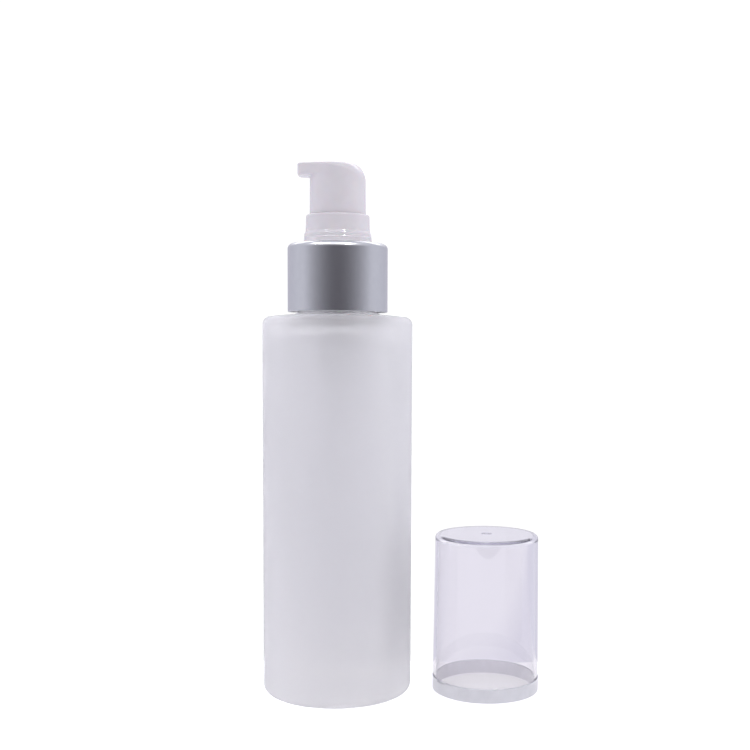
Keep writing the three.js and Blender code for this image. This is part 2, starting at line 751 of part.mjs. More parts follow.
// ---- assembly ------------------------------------------------------------------------------------

const object = new THREE.Group();
object.add(glassBottle());

const pumpEngine = new THREE.Group();
pumpEngine.add(pumpHousing(), neckGasket(), dipTube(), checkBall(), returnSpring(), housingRetainer());
object.add(pumpEngine);

const closure = new THREE.Group();
closure.add(screwClosure(), collarShell());
object.add(closure);

const plunger = new THREE.Group();
plunger.add(pumpStem(), stemPlug(), pistonRing(), actuatorHead());
object.add(plunger);

const overcap = new THREE.Group();
overcap.position.set(capStandX, CAP_SET_BACK, 0);
overcap.add(overcapShell(), overcapBand());
object.add(overcap);

export default object;
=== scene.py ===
import math

import bmesh
import bpy
import numpy as np
from mathutils import Matrix, Vector


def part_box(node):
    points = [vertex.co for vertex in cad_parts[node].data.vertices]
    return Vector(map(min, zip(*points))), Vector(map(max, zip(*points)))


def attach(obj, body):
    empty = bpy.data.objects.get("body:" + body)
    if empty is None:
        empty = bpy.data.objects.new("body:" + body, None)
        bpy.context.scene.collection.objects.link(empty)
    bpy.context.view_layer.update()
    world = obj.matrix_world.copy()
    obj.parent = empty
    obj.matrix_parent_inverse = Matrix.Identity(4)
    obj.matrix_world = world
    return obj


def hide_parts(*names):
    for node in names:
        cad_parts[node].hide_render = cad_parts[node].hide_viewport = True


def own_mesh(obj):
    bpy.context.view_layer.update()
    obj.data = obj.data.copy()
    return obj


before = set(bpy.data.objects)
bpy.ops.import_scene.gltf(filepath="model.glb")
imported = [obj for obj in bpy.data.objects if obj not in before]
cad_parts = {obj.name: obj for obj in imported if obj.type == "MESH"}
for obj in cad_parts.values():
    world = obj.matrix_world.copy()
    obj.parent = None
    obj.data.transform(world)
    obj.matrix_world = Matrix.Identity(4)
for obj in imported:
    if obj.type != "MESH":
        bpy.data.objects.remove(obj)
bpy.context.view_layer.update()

# A frosted glass foundation bottle with a treatment pump, and its clear overcap standing beside it.
# Lengths are millimetres until a mesh is made; Blender's own lengths are metres.

MM = 0.001


def low(node):
    """Lowest corner of a CAD node, in millimetres."""
    return [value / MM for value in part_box(node)[0]]


def high(node):
    """Highest corner of a CAD node, in millimetres."""
    return [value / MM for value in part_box(node)[1]]


def radius_of(node):
    """Radius of a turned CAD node, from its width across Y."""
    return (high(node)[1] - low(node)[1]) / 2


# ---- fineness of the meshes ----------------------------------------------------------------------

SEGMENTS = 160
SMALL_SEGMENTS = 96
ARC_STEP = math.radians(11)
EASE = 0.05
SHARP_ANGLE = math.radians(38)
THREAD_ROW = 0.16
HEAD_CELL = 0.18
WIRE_SIDES = 14
WIRE_STEPS_PER_TURN = 48

# ---- sizes that a node's box doesn't give --------------------------------------------------------

# Glass bottle
HEEL_RADIUS = 1.8
PUSH_UP = 0.35
PUSH_UP_RADIUS = 14.5
PUSH_UP_SLOPE = 1.5
SHOULDER_DROP = 13.9
SHOULDER_RISE = 0.8
SHOULDER_RADIUS = 2.0
GLASS_WALL = 2.2
GLASS_BASE = 6.0
NECK_RADIUS = 8.75
NECK_FOOT_WIDTH = 1.65
NECK_FOOT_HEIGHT = 1.2
NECK_BORE_RADIUS = 6.75
THREAD_PITCH = 3.18
THREAD_FADE = 0.12
THREAD_FULLNESS = 0.7
GLASS_THREAD_TURNS = 1.5
GLASS_THREAD_HEIGHT = 0.95
GLASS_THREAD_HALF_WIDTH = 1.25
GLASS_THREAD_TOP_LAND = 2.2

# Screw closure and collar
CLOSURE_INNER = 10.15
CLOSURE_THREAD_HEIGHT = 0.6
CLOSURE_THREAD_HALF_WIDTH = 0.8
CLOSURE_RIBS = 36
CLOSURE_RIB_HEIGHT = 0.1
CLOSURE_RIB_END = 0.3
CLOSURE_SEGMENTS = 216
DECK_THICKNESS = 1.25
DECK_HOLE = 5.6
WELL_RADIUS = 7.15
CHIMNEY_RADIUS = 7.92
CHIMNEY_FOOT_RADIUS = 8.35
CHIMNEY_BEAD_RADIUS = 8.25
CHIMNEY_FOOT_HEIGHT = 1.4
CHIMNEY_BEAD_HEIGHT = 0.9
CHIMNEY_FLARE_HEIGHT = 0.6
CHIMNEY_GROOVE = 0.04
CHIMNEY_DRAFT = 0.14
COLLAR_WALL = 0.4
COLLAR_EDGE_RADIUS = 1.3
COLLAR_TOP_GAP = 0.3
COLLAR_HOLE_GAP = 0.15

# Gasket and pump housing
GASKET_INNER = 6.45
CUP_OUTER = 6.3
CUP_INNER = 5.0
CUP_DEPTH = 6.5
CUP_FOOT = 1.3
FLANGE_THICKNESS = 0.9
CYLINDER_BORE = 3.7
CYLINDER_WALL = 1.0
CYLINDER_LENGTH = 17.1
CYLINDER_FLOOR = 0.4
BALL_HOLE = 1.06
CHAMBER_RADIUS = 1.6
SEAT_HOLE = 0.9
SEAT_THICKNESS = 0.8
SEAT_LIFT = 0.02
TAIL_RADIUS = 2.4
TUBE_BORE = 1.0
TUBE_TOP_GAP = 0.1
TUBE_SLANT = 0.55

# Stem, plug and piston
STEM_RADIUS = 1.9
STEM_BORE = 1.1
STEM_STOP_GAP = 0.1
STEM_STOP_THICKNESS = 0.7
STEM_PORT_RADIUS = 0.45
PLUG_PEG_RADIUS = 1.0
PLUG_PEG_HEIGHT = 1.0
PLUG_CONE_GAP = 0.1
PLUG_CONE_FOOT = 1.2
PLUG_CONE_HEIGHT = 1.6
PLUG_DISC = 0.6
PLUG_BOSS_RECESS = 0.9
PISTON_SLEEVE_WALL = 0.55
PISTON_LIP_WALL = 0.5
PISTON_EDGE = 0.1
PISTON_WEB = 0.8

# Return spring
SPRING_RADIUS = 2.7
SPRING_WIRE = 0.5
SPRING_TURNS = 8

# Housing retainer
STEM_GUIDE = 2.05
RETAINER_TUBE_WALL = 0.85
RETAINER_FLANGE = 0.8
RETAINER_SKIRT_GAP = 0.15
RETAINER_SKIRT_WALL = 0.9
RETAINER_SKIRT_DEPTH = 5.0
RETAINER_TURRET_WALL = 1.45
RETAINER_TURRET_HEIGHT = 2.5

# Actuator
CROWN = 0.55
BACK_SLOPE = 0.6
SPOUT_WIDTH = 5.0
SPOUT_FILLET = 0.5
SPOUT_TIP_ROUNDING = 0.8
SPOUT_UNDER_ROUNDING = 0.3
TOP_EDGE_FRONT = 0.5
TOP_EDGE_GROWTH = 2.9
SPOUT_TIP_HEIGHT = 3.0
SPOUT_ROOT_HEIGHT = 3.2
CHANNEL_RADIUS = 0.9
ACTUATOR_DRAFT = 0.14
HEAD_ROOF = 4.0
HEAD_WALL = 0.9
HEAD_RIB_HALF_WIDTH = 0.35
HEAD_RIB_LIFT = 4.6
SOCKET_RADIUS = 2.0
SOCKET_OUTER = 3.0
SOCKET_LIFT = 2.4
SOCKET_DEPTH = 6.4

# Overcap
CAP_WALL = 0.7
CAP_TAPER = 0.4
CAP_TOP = 0.9
CAP_EDGE_RADIUS = 1.0
CAP_INNER_EDGE_RADIUS = 0.6
BAND_THICKNESS = 0.25
BAND_GAP = 0.1
GATE_RADIUS = 1.1
GATE_DEPTH = 0.22
GATE_PIP_RADIUS = 0.4
GATE_PIP_DEPTH = 0.08

collection = bpy.context.scene.collection


# ---- mesh helpers --------------------------------------------------------------------------------

def new_object(name, verts, faces, finishes=None):
    """A smooth-shaded mesh object from millimetre points, with its faces turned outward."""
    mesh = bpy.data.meshes.new(name)
    mesh.from_pydata([Vector(v) * MM for v in verts], [], faces)
    if finishes:
        mesh.polygons.foreach_set("material_index", finishes)
    bm = bmesh.new()
    bm.from_mesh(mesh)
    bmesh.ops.recalc_face_normals(bm, faces=bm.faces)
    if bm.calc_volume(signed=True) < 0:
        bmesh.ops.reverse_faces(bm, faces=bm.faces)
    bm.to_mesh(mesh)
    bm.free()
    mesh.shade_smooth()
    mesh.set_sharp_from_angle(angle=SHARP_ANGLE)
    obj = bpy.data.objects.new(name, mesh)
    collection.objects.link(obj)
    return obj


def rounded(corners):
    """Turns corners (r, z) or (r, z, rounding) into points (r, z, corner's number).
    A point just beyond each end of a rounding keeps the straight faces' shading flat."""
    spots = [Vector(corner[:2]) for corner in corners]
    ways, reaches = [], []
    for number, corner in enumerate(corners):
        back = (spots[number - 1] - spots[number]).normalized()
        ahead = (spots[(number + 1) % len(spots)] - spots[number]).normalized()
        ways.append((back, ahead))
        reaches.append(corner[2] / math.tan(back.angle(ahead) / 2) if len(corner) == 3 else 0)

    def eased(number, neighbour, way):
        """The point just beyond a rounding, on the way to a neighbouring corner."""
        free = (spots[neighbour] - spots[number]).length - reaches[number] - reaches[neighbour]
        spot = spots[number] + way * (reaches[number] + min(EASE, free / 3))
        return [(*spot, number)] if free > 0.01 else []

    points = []
    for number, corner in enumerate(corners):
        here = spots[number]
        if len(corner) == 2:
            points.append((*corner, number))
            continue
        back, ahead = ways[number]
        centre = here + (back + ahead).normalized() * (corner[2] / math.sin(back.angle(ahead) / 2))
        start = here + back * reaches[number] - centre
        end = here + ahead * reaches[number] - centre
        sweep = math.atan2(start.x * end.y - start.y * end.x, start.dot(end))
        steps = max(3, round(abs(sweep) / ARC_STEP))
        points += eased(number, number - 1, back)
        for step in range(steps + 1):
            turn = sweep * step / steps
            cos, sin = math.cos(turn), math.sin(turn)
            r = centre.x + start.x * cos - start.y * sin
            z = centre.y + start.x * sin + start.y * cos
            points.append((r, z, number))
        points += eased(number, (number + 1) % len(corners), ahead)
    return points


def turned(name, corners, warp=None, segments=SEGMENTS, second_finish=None, axis=(0, 0)):
    """A solid of revolution whose outline starts and ends on the axis, or closes on itself.
    warp(angle, r, z) moves a point, and second_finish is the first corner of the second material."""
    points = rounded(corners)
    verts, rings = [], []
    for r, z, _ in points:
        angles = [2 * math.pi * s / segments for s in range(segments)] if r > 0 else [0]
        rings.append(range(len(verts), len(verts) + len(angles)))
        for angle in angles:
            far, up = warp(angle, r, z) if warp else (r, z)
            verts.append((axis[0] + far * math.cos(angle), axis[1] + far * math.sin(angle), up))
    faces, finishes = [], []
    last = len(points) if points[0][0] > 0 else len(points) - 1
    for index in range(last):
        one, two = rings[index], rings[(index + 1) % len(rings)]
        second = second_finish is not None and points[index][2] >= second_finish
        for s in range(segments):
            after = (s + 1) % segments
            face = [one[s % len(one)], one[after % len(one)], two[after % len(two)], two[s % len(two)]]
            if len(set(face)) > 2:
                faces.append(list(dict.fromkeys(face)))
                finishes.append(1 if second else 0)
    return new_object(name, verts, faces, finishes)


def levels(bottom, top, row):
    """Heights from bottom to top, about a row apart."""
    count = max(1, round((top - bottom) / row))
    return [bottom + (top - bottom) * step / count for step in range(count + 1)]


def thread(angle, z, start, turns, half_width):
    """Share of a screw thread's full height at an angle and height, with both ends faded out."""
    share = 0
    for whole in range(math.ceil(turns) + 1):
        turn = angle / (2 * math.pi) + whole
        off = abs(z - start - THREAD_PITCH * turn) / half_width
        if turn <= turns and off < 1:
            fade = min(1, turn / THREAD_FADE, (turns - turn) / THREAD_FADE)
            share = max(share, fade * (0.5 + 0.5 * math.cos(math.pi * off)) ** THREAD_FULLNESS)
    return share


def coil(name, radius, wire, bottom, top, turns):
    """A compression spring with closed, ground ends between two heights."""
    verts, faces = [], []
    steps = turns * WIRE_STEPS_PER_TURN
    free_turns = turns - 2
    open_pitch = (top - bottom - 3 * wire) / free_turns
    for step in range(steps + 1):
        turn = step / WIRE_STEPS_PER_TURN
        opened = min(max(turn - 1, 0), free_turns)
        height = bottom + wire / 2 + wire * (turn - opened) + open_pitch * opened
        angle = 2 * math.pi * turn
        for side in range(WIRE_SIDES):
            tilt = 2 * math.pi * side / WIRE_SIDES
            far = radius + wire / 2 * math.cos(tilt)
            up = min(max(height + wire / 2 * math.sin(tilt), bottom), top)
            verts.append((far * math.cos(angle), far * math.sin(angle), up))
    for step in range(steps):
        for side in range(WIRE_SIDES):
            after = (side + 1) % WIRE_SIDES
            ring, ahead = step * WIRE_SIDES, (step + 1) * WIRE_SIDES
            faces.append([ring + side, ring + after, ahead + after, ahead + side])
    faces.append(list(range(WIRE_SIDES)))
    faces.append(list(range(steps * WIRE_SIDES, (steps + 1) * WIRE_SIDES)))
    return new_object(name, verts, faces)


def drilled(obj, radius, start, end):
    """Cuts a round hole through an object, from one millimetre point to another."""
    start, end = Vector(start) * MM, Vector(end) * MM
    bm = bmesh.new()
    turn = (end - start).to_track_quat("Z", "Y").to_matrix().to_4x4()
    place = Matrix.Translation((start + end) / 2) @ turn
    bmesh.ops.create_cone(
        bm, cap_ends=True, segments=SMALL_SEGMENTS // 2, radius1=radius * MM, radius2=radius * MM,
        depth=(end - start).length, matrix=place)
    mesh = bpy.data.meshes.new("drill")
    bm.to_mesh(mesh)
    bm.free()
    cutter = bpy.data.objects.new("drill", mesh)
    collection.objects.link(cutter)
    cut = obj.modifiers.new("hole", "BOOLEAN")
    cut.operation = "DIFFERENCE"
    cut.solver = "EXACT"
    cut.object = cutter
    evaluated = obj.evaluated_get(bpy.context.evaluated_depsgraph_get())
    result = bpy.data.meshes.new_from_object(evaluated)
    obj.modifiers.remove(cut)
    obj.data = result
    bpy.data.objects.remove(cutter)
    result.set_sharp_from_angle(angle=SHARP_ANGLE)


# ---- distance fields for shapes that aren't turned -----------------------------------------------

def joined(one, two, fillet):
    """Distance to two shapes together, with a fillet in their corner."""
    inner = np.hypot(np.maximum(fillet - one, 0), np.maximum(fillet - two, 0))
    return np.maximum(fillet, np.minimum(one, two)) - inner


def common(one, two, rounding):
    """Distance to what two shapes have in common, with a rounded edge."""
    outer = np.hypot(np.maximum(rounding + one, 0), np.maximum(rounding + two, 0))
    return np.minimum(-rounding, np.maximum(one, two)) + outer


def skinned(name, field, lowest, highest, cell):
    """A mesh of the surface where field(x, y, z) is zero: one point in each cell it crosses."""
    axes = [np.arange(a - 2 * cell, b + 3 * cell, cell) for a, b in zip(lowest, highest)]
    value = field(*np.meshgrid(*axes, indexing="ij"))
    inside = value < 0
    cells = tuple(n - 1 for n in value.shape)
    total, count = np.zeros((3, *cells)), np.zeros(cells)
    crossings = []
    for axis in range(3):
        here = [slice(None)] * 3
        there = [slice(None)] * 3
        here[axis], there[axis] = slice(0, -1), slice(1, None)
        here, there = tuple(here), tuple(there)
        crossed = inside[here] != inside[there]
        crossings.append((crossed, inside[here]))
        share = np.where(crossed, value[here] / (value[here] - value[there] + ~crossed), 0)
        others = [other for other in range(3) if other != axis]
        for step_one in (0, 1):
            for step_two in (0, 1):
                pick = [slice(None)] * 3
                pick[others[0]] = slice(step_one, cells[others[0]] + step_one)
                pick[others[1]] = slice(step_two, cells[others[1]] + step_two)
                pick = tuple(pick)
                hit = crossed[pick]
                count += hit
                total[axis] += share[pick]
                total[others[0]] += hit * step_one
                total[others[1]] += hit * step_two
    used = count > 0
    number = np.full(cells, -1)
    number[used] = np.arange(used.sum())
    corner = np.argwhere(used)
    start = np.array([a[0] for a in axes])
    points = start + (corner + (total[:, used] / count[used]).T) * cell
    for _ in range(3):
        points = settled(points, field, cell)
    faces = []
    for axis, (crossed, first_inside) in enumerate(crossings):
        where = np.argwhere(crossed)
        others = [other for other in range(3) if other != axis]
        around = []
        for step_one, step_two in ((-1, -1), (0, -1), (0, 0), (-1, 0)):
            spot = where.copy()
            spot[:, others[0]] += step_one
            spot[:, others[1]] += step_two
            around.append(number[tuple(spot.T)])
        faces.append(np.stack(around, axis=1))
    verts = [tuple(p) for p in points]
    return new_object(name, verts, np.concatenate(faces).tolist())


def settled(points, field, cell):
    """Moves points onto the field's zero surface, along its slope."""
    step = cell / 20
    value = field(*points.T)
    slope = np.zeros_like(points)
    for axis in range(3):
        nudge = np.zeros(3)
        nudge[axis] = step
        slope[:, axis] = (field(*(points + nudge).T) - field(*(points - nudge).T)) / (2 * step)
    size = np.maximum((slope ** 2).sum(axis=1), 0.05)
    move = slope * (value / size)[:, None]
    length = np.linalg.norm(move, axis=1)
    limit = np.minimum(1, 0.5 * cell / np.maximum(length, 1e-9))
    return points - move * limit[:, None]


# ---- material helpers ----------------------------------------------------------------------------

class Finish:
    """One procedural material around a Principled shader, in the object's own coordinates."""

    def __init__(self, name, **constants):
        self.material = bpy.data.materials.new(name)
        self.material.use_nodes = True
        self.nodes = self.material.node_tree.nodes
        self.links = self.material.node_tree.links
        self.shader = self.nodes["Principled BSDF"]
        self.place = self.nodes.new("ShaderNodeTexCoord").outputs["Object"]
        for socket, value in constants.items():
            self.shader.inputs[socket.replace("_", " ")].default_value = value

    def node(self, kind, **inputs):
        node = self.nodes.new(kind)
        for socket, value in inputs.items():
            target = node.inputs[socket.replace("_", " ")]
            if isinstance(value, bpy.types.NodeSocket):
                self.links.new(value, target)
            else:
                target.default_value = value
        return node

    def noise(self, size, detail=2, stretch=(1, 1, 1)):
        """Noise with spots about size millimetres across, stretched along an axis by its factor."""
        scale = tuple(1 / factor for factor in stretch)
        spread = self.node("ShaderNodeMapping", Vector=self.place, Scale=scale)
        texture = self.node(
            "ShaderNodeTexNoise", Vector=spread.outputs[0], Scale=1 / (size * MM), Detail=detail)
        return texture.outputs[0]

    def cells(self, size):
        """Round cells about size millimetres across, dark at their middles."""
        texture = self.node("ShaderNodeTexVoronoi", Vector=self.place, Scale=1 / (size * MM))
        return texture.outputs["Distance"]

    def ranged(self, value, lowest, highest, start=0.35, end=0.65):
        """A value from lowest to highest as the given value goes from start to end."""
        node = self.node("ShaderNodeMapRange", Value=value)
        for socket, amount in zip(("From Min", "From Max", "To Min", "To Max"),
                                  (start, end, lowest, highest)):
            node.inputs[socket].default_value = amount
        return node.outputs[0]

    def colour(self, value, one, two):
        """Base colour between two colours, by a value from 0 to 1."""
        mix = self.nodes.new("ShaderNodeMix")
        mix.data_type = "RGBA"
        self.links.new(value, mix.inputs["Factor"])
        for socket, amount in ((6, one), (7, two)):
            mix.inputs[socket].default_value = (*amount, 1)
        self.links.new(mix.outputs[2], self.shader.inputs["Base Color"])

    def absorbs(self, red, green, blue):
        """Shares of each colour taken by one centimetre of the solid."""
        node = self.nodes.new("ShaderNodeVolumeAbsorption")
        takes = [-math.log(1 - share) for share in (red, green, blue)]
        most = max(takes)
        node.inputs["Color"].default_value = (*(1 - take / most for take in takes), 1)
        node.inputs["Density"].default_value = most / (10 * MM)
        output = self.nodes["Material Output"]
        self.links.new(node.outputs[0], output.inputs["Volume"])

    def roughness(self, value, lowest, highest):
        self.links.new(self.ranged(value, lowest, highest), self.shader.inputs["Roughness"])

    def bumps(self, *layers):
        """Bump layers (value, depth in millimetres, strength), each on top of the one before."""
        normal = None
        for value, depth, strength in layers:
            bump = self.node("ShaderNodeBump", Height=value, Distance=depth * MM, Strength=strength)
            if normal:
                self.links.new(normal, bump.inputs["Normal"])
            normal = bump.outputs[0]
        self.links.new(normal, self.shader.inputs["Normal"])


def etched_glass():
    finish = Finish("etched_glass", Transmission_Weight=0.7, IOR=1.5)
    grain = finish.noise(0.22, detail=3)
    cloud = finish.noise(6)
    finish.colour(finish.ranged(cloud, 0, 1), (0.925, 0.92, 0.925), (0.94, 0.935, 0.94))
    finish.roughness(cloud, 0.82, 0.9)
    finish.bumps((grain, 0.02, 0.35))
    return finish.material


def polished_glass():
    finish = Finish("polished_glass", Transmission_Weight=1.0, IOR=1.5)
    swirl = finish.noise(9)
    finish.colour(finish.ranged(swirl, 0, 1), (0.98, 0.98, 0.985), (0.99, 0.99, 0.995))
    finish.roughness(swirl, 0.03, 0.08)
    finish.bumps((swirl, 0.08, 0.4))
    return finish.material


def white_plastic():
    finish = Finish("white_plastic", IOR=1.49, Subsurface_Weight=0.12, Subsurface_Scale=0.6 * MM)
    cloud = finish.noise(3)
    grain = finish.noise(0.25, detail=3)
    finish.colour(finish.ranged(cloud, 0, 1), (0.85, 0.815, 0.835), (0.87, 0.835, 0.855))
    finish.roughness(grain, 0.09, 0.14)
    finish.bumps((cloud, 0.004, 0.2), (grain, 0.001, 0.1))
    return finish.material


def satin_aluminium():
    finish = Finish("satin_aluminium", Metallic=1.0)
    grain = finish.noise(0.11, detail=3)
    cloud = finish.noise(1.5)
    finish.colour(finish.ranged(cloud, 0, 1), (0.59, 0.595, 0.615), (0.605, 0.61, 0.63))
    finish.roughness(grain, 0.25, 0.27)
    finish.bumps((grain, 0.0005, 0.1))
    return finish.material


def natural_plastic():
    finish = Finish("natural_plastic", Transmission_Weight=0.9, IOR=1.5)
    cloud = finish.noise(2.5)
    grain = finish.noise(0.3, detail=3)
    finish.colour(finish.ranged(cloud, 0, 1), (0.96, 0.96, 0.965), (0.98, 0.98, 0.985))
    finish.roughness(grain, 0.28, 0.40)
    finish.bumps((cloud, 0.01, 0.3), (grain, 0.004, 0.25))
    return finish.material


def gasket_foam():
    finish = Finish("gasket_foam", Roughness=0.85, IOR=1.45)
    pits_and_pore_shade = finish.cells(0.35)
    # The cell middles, where the bumps dip into pits, are painted darker: painted shade in the foam's
    # pores.
    finish.colour(finish.ranged(pits_and_pore_shade, 0, 1, 0.1, 0.7), (0.78, 0.78, 0.76), (0.90, 0.90, 0.88))
    finish.roughness(pits_and_pore_shade, 0.75, 0.9)
    finish.bumps((pits_and_pore_shade, 0.08, 0.7))
    return finish.material


def spring_steel():
    finish = Finish("spring_steel", Metallic=1.0)
    drawn = finish.noise(0.12, detail=3, stretch=(6, 6, 0.6))
    finish.colour(finish.ranged(drawn, 0, 1), (0.52, 0.52, 0.53), (0.66, 0.66, 0.67))
    finish.roughness(drawn, 0.18, 0.32)
    finish.bumps((drawn, 0.004, 0.4))
    return finish.material


def ball_glass():
    finish = Finish("ball_glass", Transmission_Weight=1.0, IOR=1.52)
    cloud = finish.noise(0.8)
    finish.colour(finish.ranged(cloud, 0, 1), (0.88, 0.93, 0.91), (0.93, 0.96, 0.95))
    finish.roughness(cloud, 0.01, 0.05)
    finish.bumps((cloud, 0.004, 0.2))
    return finish.material


def clear_plastic():
    finish = Finish("clear_plastic", Transmission_Weight=1.0, IOR=1.57)
    finish.absorbs(0.12, 0.125, 0.09)
    flow = finish.noise(7, stretch=(1, 1, 3))
    scuff = finish.noise(0.4, detail=4)
    finish.colour(finish.ranged(flow, 0, 1), (0.985, 0.975, 0.99), (0.995, 0.985, 1.0))
    finish.roughness(scuff, 0.0, 0.03)
    finish.bumps((flow, 0.03, 0.35))
    return finish.material


def mirror_silver():
    finish = Finish("mirror_silver", Metallic=1.0)
    ripple = finish.noise(2.2, stretch=(1, 1, 2))
    grain = finish.noise(0.2, detail=3)
    finish.colour(finish.ranged(ripple, 0, 1), (0.72, 0.725, 0.755), (0.76, 0.765, 0.795))
    finish.roughness(grain, 0.08, 0.16)
    finish.bumps((ripple, 0.03, 0.35), (grain, 0.002, 0.2))
    return finish.material


MATERIALS = {
    "frosted_glass": [etched_glass(), polished_glass()],
    "white_plastic": [white_plastic()],
    "satin_aluminium": [satin_aluminium()],
    "gasket_foam": [gasket_foam()],
    "natural_plastic": [natural_plastic()],
    "spring_steel": [spring_steel()],
    "ball_glass": [ball_glass()],
    "clear_plastic": [clear_plastic()],
    "mirror_silver": [mirror_silver()],
}


def assigned(obj, body, slot, node):
    """Gives a piece its materials, and puts it on its body in place of its CAD node."""
    for material in MATERIALS[slot]:
        obj.data.materials.append(material)
    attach(obj, body)
    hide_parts(node)


# ---- bottle --------------------------------------------------------------------------------------

def frosted_bottle():
    outer = radius_of("glass_bottle")
    neck_top = high("glass_bottle")[2]
    shoulder = neck_top - SHOULDER_DROP
    neck_root = shoulder + SHOULDER_RISE
    thread_start = neck_top - GLASS_THREAD_TOP_LAND - THREAD_PITCH * GLASS_THREAD_TURNS
    thread_low = thread_start - GLASS_THREAD_HALF_WIDTH
    thread_high = neck_top - GLASS_THREAD_TOP_LAND + GLASS_THREAD_HALF_WIDTH
    rows = [(NECK_RADIUS, z) for z in levels(thread_low, thread_high, THREAD_ROW)]
    outside = [
        (0, PUSH_UP),
        (PUSH_UP_RADIUS - PUSH_UP_SLOPE, PUSH_UP, 1.0),
        (PUSH_UP_RADIUS, 0, 0.6),
        (outer, 0, HEEL_RADIUS),
        (outer, shoulder, SHOULDER_RADIUS),
        (NECK_RADIUS + NECK_FOOT_WIDTH, neck_root, 0.8),
        (NECK_RADIUS, neck_root + NECK_FOOT_HEIGHT, 0.6),
        *rows,
    ]
    inside = [
        (NECK_RADIUS, neck_top, 0.5),
        (NECK_BORE_RADIUS, neck_top, 0.5),
        (NECK_BORE_RADIUS, neck_root - GLASS_WALL, 0.7),
        (outer - GLASS_WALL, shoulder - GLASS_WALL, 3.0),
        (outer - GLASS_WALL, GLASS_BASE, 4.0),
        (0, GLASS_BASE),
    ]

    def with_thread(angle, r, z):
        if r != NECK_RADIUS:
            return r, z
        rise = thread(angle, z, thread_start, GLASS_THREAD_TURNS, GLASS_THREAD_HALF_WIDTH)
        return r + GLASS_THREAD_HEIGHT * rise, z

    obj = turned("frosted_bottle", outside + inside, with_thread, second_finish=len(outside))
    assigned(obj, "bottle", "frosted_glass", "glass_bottle")


# ---- closure, collar and gasket ------------------------------------------------------------------

def closure_with_chimney():
    bottom, top = low("screw_closure")[2], high("screw_closure")[2]
    outer = radius_of("screw_closure")
    collar_top = high("collar_shell")[2]
    deck_top = collar_top - COLLAR_WALL - COLLAR_TOP_GAP
    deck_bottom = deck_top - DECK_THICKNESS
    foot_top = collar_top + CHIMNEY_FOOT_HEIGHT
    bead_top = foot_top + CHIMNEY_BEAD_HEIGHT
    neck_top = high("glass_bottle")[2]
    thread_start = (neck_top - GLASS_THREAD_TOP_LAND - THREAD_PITCH * GLASS_THREAD_TURNS
                    - THREAD_PITCH / 2)
    rows = [(CLOSURE_INNER, z) for z in levels(bottom + 0.8, deck_bottom - 1.2, THREAD_ROW)]
    rib_low, rib_high = bottom + 1.2, deck_top - 3.2
    corners = [
        (CLOSURE_INNER, bottom, 0.3),
        (outer, bottom, 0.3),
        (outer, rib_low),
        (outer, rib_low + CLOSURE_RIB_END),
        (outer, rib_high - CLOSURE_RIB_END),
        (outer, rib_high),
        (outer, deck_top, 1.3),
        (CHIMNEY_FOOT_RADIUS, deck_top, 0.2),
        (CHIMNEY_FOOT_RADIUS, foot_top, 0.3),
        (CHIMNEY_BEAD_RADIUS - CHIMNEY_GROOVE, foot_top + 0.1, 0.08),
        (CHIMNEY_BEAD_RADIUS, foot_top + 0.25, 0.15),
        (CHIMNEY_BEAD_RADIUS, bead_top, 0.7),
        (CHIMNEY_RADIUS, bead_top + CHIMNEY_FLARE_HEIGHT, 0.5),
        (CHIMNEY_RADIUS - CHIMNEY_DRAFT, top, 0.42),
        (WELL_RADIUS, top, 0.3),
        (WELL_RADIUS, deck_top, 0.3),
        (DECK_HOLE, deck_top, 0.15),
        (DECK_HOLE, deck_bottom, 0.15),
        (CLOSURE_INNER, deck_bottom, 0.4),
        *reversed(rows),
    ]

    def with_details(angle, r, z):
        if r == CLOSURE_INNER:
            rise = thread(angle, z, thread_start, GLASS_THREAD_TURNS, CLOSURE_THREAD_HALF_WIDTH)
            return r - CLOSURE_THREAD_HEIGHT * rise, z
        if abs(r - outer) < 1e-6 and rib_low < z < rib_high:
            return r + CLOSURE_RIB_HEIGHT * (0.5 + 0.5 * math.cos(CLOSURE_RIBS * angle)), z
        return r, z

    obj = turned("closure_with_chimney", corners, with_details, segments=CLOSURE_SEGMENTS)
    assigned(obj, "closure", "white_plastic", "screw_closure")


def aluminium_collar():
    bottom, top = low("collar_shell")[2], high("collar_shell")[2]
    outer = radius_of("collar_shell")
    inner = outer - COLLAR_WALL
    hole = CHIMNEY_FOOT_RADIUS + COLLAR_HOLE_GAP
    obj = turned("aluminium_collar", [
        (inner, bottom, 0.12),
        (outer, bottom, 0.2),
        (outer, top, COLLAR_EDGE_RADIUS),
        (hole, top, 0.15),
        (hole, top - COLLAR_WALL, 0.1),
        (inner, top - COLLAR_WALL, COLLAR_EDGE_RADIUS - COLLAR_WALL),
    ])
    assigned(obj, "closure", "satin_aluminium", "collar_shell")


def foam_gasket():
    bottom, top = low("neck_gasket")[2], high("neck_gasket")[2]
    obj = turned("foam_gasket", [
        (GASKET_INNER, bottom, 0.12),
        (radius_of("neck_gasket"), bottom, 0.12),
        (radius_of("neck_gasket"), top, 0.12),
        (GASKET_INNER, top, 0.12),
    ])
    assigned(obj, "pump_engine", "gasket_foam", "neck_gasket")


# ---- pump ----------------------------------------------------------------------------------------

def cup_floor():
    """Height of the step between the pump housing's cup and its cylinder."""
    return high("pump_housing")[2] - FLANGE_THICKNESS - CUP_DEPTH


